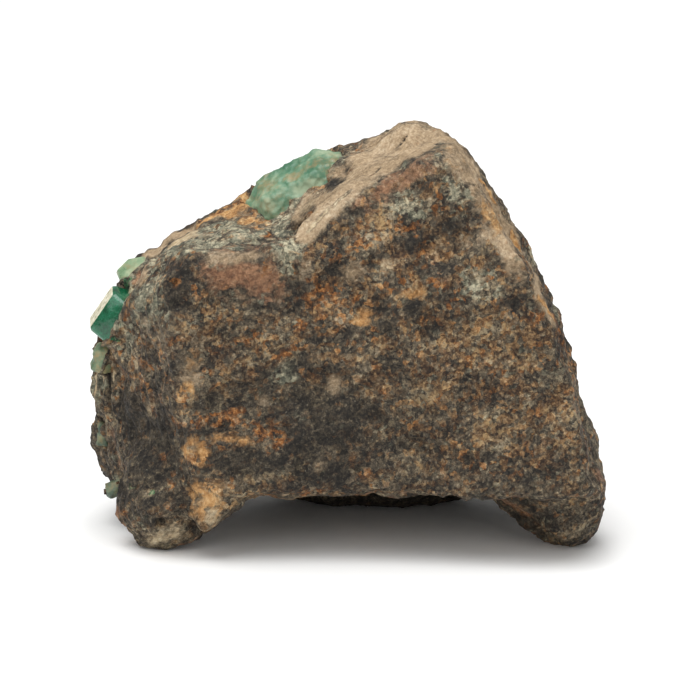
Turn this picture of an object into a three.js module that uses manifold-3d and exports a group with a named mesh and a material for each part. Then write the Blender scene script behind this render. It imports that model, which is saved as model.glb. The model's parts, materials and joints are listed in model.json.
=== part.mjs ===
// Emerald in matrix: a hand specimen of mica schist that carries emerald crystals.
// Millimetres, +Z up. The side with the dark green crystal at its left edge faces -Y.
// The origin is on the resting surface, under the middle of the stone.
import * as THREE from "three";
import { ImprovedNoise } from "three/addons/math/ImprovedNoise.js";
import { mergeVertices } from "three/addons/utils/BufferGeometryUtils.js";
import Module from "manifold-3d";

// Driving dimensions
const HEART = new THREE.Vector3(0, 0, 16); // a point in the stone from which all its skin is in sight
const SKIN_DETAIL = 20; // splits of each edge of the icosahedron that becomes the skin
const EDGE_WEAR = 0.25; // how far edges between faces are worn round
const SEAM_WEAR = 0.22; // how far blocks and lumps run into each other
const POCKET_GAP = 0.3; // left round each crystal

// Looking for the skin along a ray: where to start, how far to step, how often to halve the last step
const FARTHEST_SKIN = 42;
const MARCH_STEP = 0.4;
const HALVINGS = 24;
const FLOOR_SNAP = 1e-4; // skin this close to the resting surface lies on it
const SAME_CORNER = 1e-4; // corners this close are one

const LOOK = {
  schist: { color: 0x4f463c, roughness: 0.82, metalness: 0 },
  emerald: { color: 0x11704a, roughness: 0.25, metalness: 0 },
  cloudyEmerald: { color: 0x5c9c7c, roughness: 0.45, metalness: 0 },
  paleBeryl: { color: 0x8fae93, roughness: 0.5, metalness: 0 },
};

// A direction, from degrees round from the front (right is positive) and degrees above level.
function heading(round, up) {
  const azimuth = THREE.MathUtils.degToRad(round);
  const elevation = THREE.MathUtils.degToRad(up);
  const level = Math.cos(elevation);
  return new THREE.Vector3(Math.sin(azimuth) * level, -Math.cos(azimuth) * level, Math.sin(elevation));
}

// A cleavage face: the heading that it looks along, and a point that it passes through.
function face(round, up, ...point) {
  return new THREE.Plane().setFromNormalAndCoplanarPoint(heading(round, up), new THREE.Vector3(...point));
}

// Faces that bound the whole stone
const OUTSIDE = [
  face(-55, -6, -23.1, 0.6, 12), // dark left side
  face(-104, 52, -14.8, -2, 27.5), // upper bevel on the left
  face(-78, 30, -18.1, -2, 25.6), // steep bevel that carries the left crystals
  face(-125, 8, -18.9, 7, 12), // back left
  face(-150, 39, -13.5, 3.4, 28.1), // back of the shelf
  face(172, 12, 0, 12.5, 14), // back
  face(178, 45, -2, 5, 34.6), // back of the crest
  face(-85, 70, -0.8, 2, 34.4), // crown
  face(135, 12, 15, 10, 12), // back right
  face(115, 29, 9.2, -3, 37.2), // upper right, behind its edge
  face(87, 31, 9.2, -3, 37.2), // upper right, in front of it
  face(112, 13, 19.5, -3, 18.7), // lower right, behind its edge
  face(86, 14, 19.5, -3, 18.7), // lower right, in front of it
  face(-65, -18, -22.4, -1, 8.6), // left undercut
  face(-60, -42, -20.9, -2, 3.3), // left undercut, near the foot
  face(75, -38, 22.6, -4, 3.2), // undercut over the right foot
  face(0, -78, 0, -11.5, 6.3), // arch between the feet
  face(180, -56, 2, 11, 4), // lifted heel
];

// Blocks that step up and forward within those faces
const LEFT_SHELF = [
  face(5, 4, -4.4, -11, 16), // brown front
  face(-30, 84, -12, -10, 28.2), // level top
];
const REAR_SLOPE = [
  face(-57, 53, -7.1, 3, 32.1), // slope that carries the top emerald
  face(0, 12, 0, -7.5, 28), // step down to the front
];
const RIGHT_WEDGE = [
  face(-4, 6, -4.4, -11, 16), // front
  face(-74, 54, -1, -9.5, 32.7), // pale slab
  face(-135, 27, -1, -6.6, 33.5), // crack behind the slab
];
const BLOCKS = [LEFT_SHELF, REAR_SLOPE, RIGHT_WEDGE];

// Rounded lumps that swell out of the stone, and hollows in it: centre and half-sizes
const LUMPS = [
  { at: [-16.6, -6, 4.5], half: [4.2, 4.6, 5.2] }, // left foot
  { at: [19.4, -5, 4], half: [3.5, 4.4, 5] }, // right foot
  { at: [3, 8, 3], half: [10, 4.5, 3.8] }, // heel
  { at: [-12.3, -10, 4.2], half: [1.7, 2, 2.1] }, // feldspar knob beside the arch
  { at: [5.9, -0.5, 35.6], half: [3.2, 3.4, 2.5] }, // peak
  { at: [-21.2, 0.2, 13], half: [2.5, 2.6, 2.8] }, // end of a pale layer on the left
];
const HOLLOWS = [
  { at: [-5.6, -7.6, 29.3], half: [2.4, 1.6, 1.5] }, // where shelf, slope and slab meet
  { at: [18.7, -4.4, 22.2], half: [1.4, 2.6, 1.5] }, // notch in the right edge
  { at: [-1.6, -12.5, 4.6], half: [3.4, 3, 2] }, // front of the arch
  { at: [10, 14.4, 21], half: [5, 2.4, 4] }, // scoop in the back
];

// Relief laid over it all: swells, lumps and coarse grain
const RELIEF = [
  { wavelength: 10, height: 0.75 },
  { wavelength: 4.4, height: 0.5 },
  { wavelength: 2.1, height: 0.22 },
];
const RELIEF_START = new THREE.Vector3(7, 3, 5); // in wavelengths

// Mica layers, whose broken ends stand out as low ledges
const LAYERS = { across: heading(-6, 5), spacing: 4.4, height: 0.42, lip: 0.7, waver: 0.7, waverLength: 12 };

// Beryl grows as six-sided prisms. axis is the way a prism runs, facing is the way that one flat side looks,
// flat squeezes the prism that way, and its worn ends taper over the length of bevel.
const CRYSTALS = [
  { name: "left_prism", look: "emerald", radius: 2.2, length: 4.2, flat: 1, bevel: 0.3,
    at: [-20.75, -2.2, 20.15], axis: [0.55, -0.1, 0.83], facing: [-0.37, -0.92, 0.14] },
  { name: "left_lower_prism", look: "cloudyEmerald", radius: 1.1, length: 2.6, flat: 1, bevel: 0.25,
    at: [-22.2, -0.9, 16], axis: [0.3, -0.1, 0.95], facing: [-0.4, -0.9, 0] },
  { name: "upper_left_prism", look: "cloudyEmerald", radius: 1.75, length: 4, flat: 1, bevel: 0.3,
    at: [-19, 1.7, 22.4], axis: [-0.4, -0.35, 0.85], facing: [-0.3, -0.9, -0.3] },
  { name: "top_emerald", look: "cloudyEmerald", radius: 3.5, length: 10, flat: 0.6, bevel: 2,
    at: [-4.7, 0.9, 31.45], axis: [0.86, 0.02, 0.47], facing: [-0.5, -0.33, 0.8] },
  { name: "left_edge_prism", look: "paleBeryl", radius: 0.75, length: 2.1, flat: 1, bevel: 0.2,
    at: [-22.7, 1.1, 8.3], axis: [0.05, 0.1, 1], facing: [-1, -0.3, 0] },
  { name: "lower_left_prism", look: "paleBeryl", radius: 0.9, length: 3.4, flat: 1, bevel: 0.25,
    at: [-20.9, -0.5, 3.8], axis: [-0.95, -0.1, -0.28], facing: [0, -0.9, 0.4] },
];
const PRISM_SIDES = 6;
const HALF_SIDE = Math.PI / PRISM_SIDES; // turn from a corner to the middle of a flat side

const noise = new ImprovedNoise();

// Noise between -1 and 1 that changes over a wavelength.
function noiseAt(p, wavelength) {
  const at = p.clone().divideScalar(wavelength).add(RELIEF_START);
  return noise.noise(at.x, at.y, at.z);
}

// The worn saw edge of the layers, from -0.5 to 0.5: each rises slowly to its lip and falls off to the next.
function layerEdge(p) {
  const layer = p.dot(LAYERS.across) / LAYERS.spacing + LAYERS.waver * noiseAt(p, LAYERS.waverLength);
  const into = layer - Math.floor(layer);
  return (into < LAYERS.lip ? into / LAYERS.lip : (1 - into) / (1 - LAYERS.lip)) - 0.5;
}

function relief(p) {
  const swell = RELIEF.reduce((sum, { wavelength, height }) => sum + height * noiseAt(p, wavelength), 0);
  return swell + LAYERS.height * layerEdge(p);
}

// The largest of several distances, with the corners between them worn round.
function wornMax(distances, wear) {
  const largest = Math.max(...distances);
  const sum = distances.reduce((total, d) => total + Math.exp((d - largest) / wear), 0);
  return largest + wear * Math.log(sum);
}

function wornMin(distances, wear) {
  return -wornMax(distances.map((d) => -d), wear);
}

// How far a point is outside a lump, in millimetres near its skin.
function outsideLump(p, { at, half }) {
  const scaled = Math.hypot(...half.map((h, i) => (p.getComponent(i) - at[i]) / h));
  return (scaled - 1) * Math.min(...half);
}

// How far a point is outside the stone: below zero within it.
function outsideStone(p) {
  const within = (faces) => wornMax(faces.map((f) => f.distanceToPoint(p)), EDGE_WEAR);
  const stepped = wornMin(BLOCKS.map(within), SEAM_WEAR);
  const body = wornMax([within(OUTSIDE), stepped], EDGE_WEAR);
  const swollen = wornMin([body, ...LUMPS.map((lump) => outsideLump(p, lump))], SEAM_WEAR);
  const hollowed = wornMax([swollen, ...HOLLOWS.map((hollow) => -outsideLump(p, hollow))], SEAM_WEAR);
  return Math.max(hollowed + relief(p), -p.z);
}

// Where a ray from the heart leaves the stone.
function skinPoint(direction) {
  const at = (reach) => HEART.clone().addScaledVector(direction, reach);
  let outer = FARTHEST_SKIN;
  while (outsideStone(at(outer - MARCH_STEP)) > 0) outer -= MARCH_STEP;
  let inner = outer - MARCH_STEP;
  for (let i = 0; i < HALVINGS; i++) {
    const middle = (inner + outer) / 2;
    if (outsideStone(at(middle)) > 0) outer = middle;
    else inner = middle;
  }
  const point = at(inner);
  if (point.z < FLOOR_SNAP) point.z = 0;
  return point;
}

// Only the corners of a geometry, each shared by its triangles.
function bareShape(geometry) {
  return mergeVertices(geometry.clone().deleteAttribute("normal").deleteAttribute("uv"), SAME_CORNER);
}

function stoneGeometry() {
  const skin = bareShape(new THREE.IcosahedronGeometry(1, SKIN_DETAIL));
  const corners = skin.getAttribute("position");
  const direction = new THREE.Vector3();
  for (let i = 0; i < corners.count; i++) {
    direction.fromBufferAttribute(corners, i).normalize();
    corners.setXYZ(i, ...skinPoint(direction));
  }
  return skin;
}

// A crystal, or with grow the pocket that it sits in.
function prismGeometry({ radius, length, flat, bevel, at, axis, facing }, grow) {
  const along = new THREE.Vector3(...axis).normalize();
  const across = new THREE.Vector3(...facing).projectOnPlane(along).normalize();
  const sideways = new THREE.Vector3().crossVectors(along, across);
  const reach = length / 2 + grow;
  const corner = radius + grow / Math.cos(HALF_SIDE) / flat;
  const profile = [
    new THREE.Vector2(0, -reach),
    new THREE.Vector2(corner - bevel, -reach),
    new THREE.Vector2(corner, bevel - reach),
    new THREE.Vector2(corner, reach - bevel),
    new THREE.Vector2(corner - bevel, reach),
    new THREE.Vector2(0, reach),
  ];
  const prism = new THREE.LatheGeometry(profile, PRISM_SIDES, HALF_SIDE).scale(1, 1, flat);
  return prism.applyMatrix4(new THREE.Matrix4().makeBasis(sideways, along, across).setPosition(...at));
}

// Solids that can be cut, and back
const wasm = await Module();
wasm.setup();

function toSolid(geometry) {
  const bare = bareShape(geometry);
  return new wasm.Manifold(new wasm.Mesh({
    numProp: 3,
    vertProperties: new Float32Array(bare.getAttribute("position").array),
    triVerts: new Uint32Array(bare.index.array),
  }));
}

function toGeometry(solid) {
  const mesh = solid.getMesh();
  const geometry = new THREE.BufferGeometry();
  geometry.setAttribute("position", new THREE.BufferAttribute(mesh.vertProperties, 3));
  geometry.setIndex(new THREE.BufferAttribute(mesh.triVerts, 1));
  geometry.computeVertexNormals();
  return geometry;
}

// The stone with a pocket for each crystal, and the crystals in their pockets
const pieces = new THREE.Group();

function addPiece(name, geometry, look) {
  const mesh = new THREE.Mesh(geometry, new THREE.MeshStandardMaterial(LOOK[look]));
  mesh.name = name;
  pieces.add(mesh);
}

const pockets = CRYSTALS.map((crystal) => toSolid(prismGeometry(crystal, POCKET_GAP)));
const matrix = pockets.reduce((stone, pocket) => stone.subtract(pocket), toSolid(stoneGeometry()));
addPiece("matrix", toGeometry(matrix), "schist");
for (const crystal of CRYSTALS) addPiece(crystal.name, prismGeometry(crystal, 0), crystal.look);

// The middle of the stone stands over the origin.
const middle = new THREE.Box3().setFromObject(pieces, true).getCenter(new THREE.Vector3());
pieces.position.set(-middle.x, -middle.y, 0);

const specimen = new THREE.Group();
specimen.add(pieces);

export default specimen;
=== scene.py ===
"""Looks of a broken lump of mica schist with small emeralds grown into it.

The stone is remeshed from its solid, chipped and grained along its normals, and stained by listed
patches of mineral, some of them painted shade. The crystals are six-sided beryl prisms, some sharp and
some worn, and the stone draws back to show them where they lie in their sockets.
"""

from __future__ import annotations

import json
import logging
import math
from collections.abc import Callable, Iterable
from dataclasses import dataclass, field
from enum import Enum
from functools import partial
from typing import Any

import bmesh
import bpy
import numpy as np
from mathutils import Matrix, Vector, noise
from mathutils.bvhtree import BVHTree

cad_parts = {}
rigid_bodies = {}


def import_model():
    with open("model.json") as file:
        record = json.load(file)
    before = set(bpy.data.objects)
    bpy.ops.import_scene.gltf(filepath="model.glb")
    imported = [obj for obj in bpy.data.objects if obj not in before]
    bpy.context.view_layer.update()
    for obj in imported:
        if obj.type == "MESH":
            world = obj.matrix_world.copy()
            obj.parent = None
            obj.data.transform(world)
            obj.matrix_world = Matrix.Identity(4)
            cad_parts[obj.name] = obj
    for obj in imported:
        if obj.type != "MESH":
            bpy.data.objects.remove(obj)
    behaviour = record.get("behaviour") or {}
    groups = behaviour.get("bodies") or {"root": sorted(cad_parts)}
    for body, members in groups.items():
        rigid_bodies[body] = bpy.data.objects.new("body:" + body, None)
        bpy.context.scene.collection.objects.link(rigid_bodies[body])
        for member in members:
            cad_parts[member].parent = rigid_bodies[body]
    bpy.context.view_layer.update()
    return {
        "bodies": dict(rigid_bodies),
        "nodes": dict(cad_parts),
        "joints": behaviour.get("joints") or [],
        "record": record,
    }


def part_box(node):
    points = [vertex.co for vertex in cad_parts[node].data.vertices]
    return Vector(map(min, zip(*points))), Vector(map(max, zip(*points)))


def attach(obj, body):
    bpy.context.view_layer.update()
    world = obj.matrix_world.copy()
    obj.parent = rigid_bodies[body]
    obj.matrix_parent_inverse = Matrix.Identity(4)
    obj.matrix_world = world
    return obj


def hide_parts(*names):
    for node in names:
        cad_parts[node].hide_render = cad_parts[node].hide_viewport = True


LOG = logging.getLogger("emerald_in_matrix")
MM = 0.001
BODY = "root"
# Corners of a solid that are closer than this are one corner.
JOIN_MM = 0.001
# A distance, in mm or in half-sizes, that is beyond every mark on the stone.
FAR = 99.0

# The front view: the camera looks along +Y and down by its elevation at a point inside the stone.
VIEW_TARGET_MM = Vector((0.27, -0.85, 16.5))
VIEW_ELEVATION = math.radians(15.0)
VIEW_DISTANCE_MM = 500.0
VIEW_WIDTH_MM = 63.2
SENSOR_WIDTH_MM = 36.0
CLIP_START_M = 0.01
VIEW_RIGHT = Vector((1.0, 0.0, 0.0))
VIEW_UP = Vector((0.0, math.sin(VIEW_ELEVATION), math.cos(VIEW_ELEVATION)))
VIEW_AHEAD = Vector((0.0, math.cos(VIEW_ELEVATION), -math.sin(VIEW_ELEVATION)))
VIEW_EYE_MM = VIEW_TARGET_MM - VIEW_AHEAD * VIEW_DISTANCE_MM

Place = tuple[float, float]
Colour = tuple[float, float, float, float]


class Mineral(Enum):
    """Minerals and stains that show on the stone; DARK also paints shade in pits, cracks and under the
    stone. Each value is the name of its vertex attribute.
    """

    SCHIST = "schist"
    IRON_BROWN = "iron_brown"
    RED_BROWN = "red_brown"
    TAN = "tan"
    RUST = "rust"
    CREAM = "cream"
    GREY_GREEN = "grey_green"
    OCHRE = "ochre"
    GREEN_MICA = "green_mica"
    DARK = "dark"


SCHIST, IRON_BROWN, RED_BROWN, TAN, RUST, CREAM, GREY_GREEN, OCHRE, GREEN_MICA, DARK = Mineral


@dataclass(frozen=True)
class MineralTone:
    """Colours of one mineral, from its darkest grains to its palest, as sRGB hex, and how it spreads.

    blotch is the size of its blotches in mm. scattered and full are the shares of the stone that it covers
    outside its patches and inside them. even is how smooth and fine-grained it makes the stone.
    """

    shades: tuple[str, str, str, str, str]
    blotch: float = 1.0
    scattered: float = 0.0
    full: float = 1.0
    even: float = 0.0


# Mica schist and its weathering: dark mica, iron-stained quartz and feldspar, rust films, talc. DARK also
# serves as painted shade.
TONES: dict[Mineral, MineralTone] = {
    SCHIST: MineralTone(("#171410", "#302a23", "#463f34", "#605545", "#938468")),
    IRON_BROWN: MineralTone(("#281b12", "#473321", "#624a32", "#7e6344", "#a5895f"), 2.0, 0.12, 0.6),
    RED_BROWN: MineralTone(("#543828", "#76533c", "#916a4d", "#a87f60", "#c29b79"), 1.8, 0.02, 0.92, 0.6),
    TAN: MineralTone(("#6a5843", "#8f7a5e", "#a79072", "#bda688", "#d9c9ab"), 1.3, 0.04, 0.9, 0.8),
    RUST: MineralTone(("#3a2211", "#643e1d", "#804f27", "#9c6938", "#be9260"), 1.1, 0.1, 0.74),
    CREAM: MineralTone(("#7c674a", "#a18b69", "#b9a483", "#ccba99", "#e3d7bd"), 0.9, 0.03, 0.88, 0.85),
    GREY_GREEN: MineralTone(("#42443a", "#646454", "#827f6a", "#a09b83", "#cbc2a4"), 1.3, 0.09, 0.78),
    OCHRE: MineralTone(("#74502c", "#9d7142", "#b98c58", "#cda673", "#e3c99f"), 1.0, 0.03, 0.95, 0.7),
    GREEN_MICA: MineralTone(("#0f2415", "#1b3d24", "#2a5533", "#457048", "#7b9670"), 0.9, 0.01, 0.8),
    DARK: MineralTone(("#0a0907", "#171411", "#231f1a", "#332d25", "#534a3a"), 1.2, 0.1, 0.85, 0.5),
}


@dataclass(frozen=True)
class Patch:
    """A stain of one mineral, or for some DARK patches painted shade, placed by where its middle shows in
    the front view.

    place is mm right and up of the middle of that view, reach is its half-width and half-height there,
    strength is how fully it covers the stone, and turn is in degrees, anticlockwise.
    """

    mineral: Mineral
    place: Place
    reach: Place
    strength: float = 1.0
    turn: float = 0.0


@dataclass(frozen=True)
class Streak:
    """A vein, layer or crack along a course in the front view, in mm, with its half-width and depth."""

    mineral: Mineral
    course: tuple[Place, ...]
    half_width: float
    depth: float = 0.0


@dataclass(frozen=True)
class Pit:
    """A small hole in the stone: place in the front view, radius and depth, in mm."""

    place: Place
    radius: float
    depth: float


@dataclass(frozen=True)
class Swell:
    """A broad rise or dip of the stone: place, half-sizes and height in mm, and turn in degrees."""

    place: Place
    reach: Place
    height: float
    turn: float = 0.0


# The photograph: the pixel in its middle, which is the middle of the front view, and its scale at the stone.
PHOTO_MIDDLE = 350.0
PIXELS_PER_MM = 11.076


def photo_place(pixel: Place) -> Place:
    """Where a point of the photograph lies in the front view.

    Args:
        pixel: pixels from the photograph's left and top edges.

    Returns:
        mm right and up of the middle of the view, to a tenth.
    """
    x, y = pixel
    return (round((x - PHOTO_MIDDLE) / PIXELS_PER_MM, 1), round((PHOTO_MIDDLE - y) / PIXELS_PER_MM, 1))


def photo_length(pixels: float) -> float:
    """Length in mm, to a hundredth, of a length in pixels of the photograph."""
    return round(pixels / PIXELS_PER_MM, 2)


def patch_at(
    mineral: Mineral, x: float, y: float, wide: float, high: float, strength: float = 1.0, turn: float = 0.0
) -> Patch:
    """A stain picked in the photograph.

    Args:
        mineral: the mineral.
        x: pixels from the photograph's left edge to the stain's middle.
        y: pixels from its top edge.
        wide: half the stain's width in pixels.
        high: half its height in pixels.
        strength: how fully it covers the stone.
        turn: degrees, anticlockwise.

    Returns:
        The patch.
    """
    reach = (photo_length(wide), photo_length(high))
    return Patch(mineral, photo_place((x, y)), reach, strength, turn)


def streak_at(mineral: Mineral, course: Iterable[Place], half_width: float, depth: float = 0.0) -> Streak:
    """A vein, layer or crack picked in the photograph.

    Args:
        mineral: the mineral.
        course: points of the photograph, in pixels.
        half_width: in pixels.
        depth: in mm.

    Returns:
        The streak.
    """
    return Streak(mineral, tuple(photo_place(point) for point in course), photo_length(half_width), depth)


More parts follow.
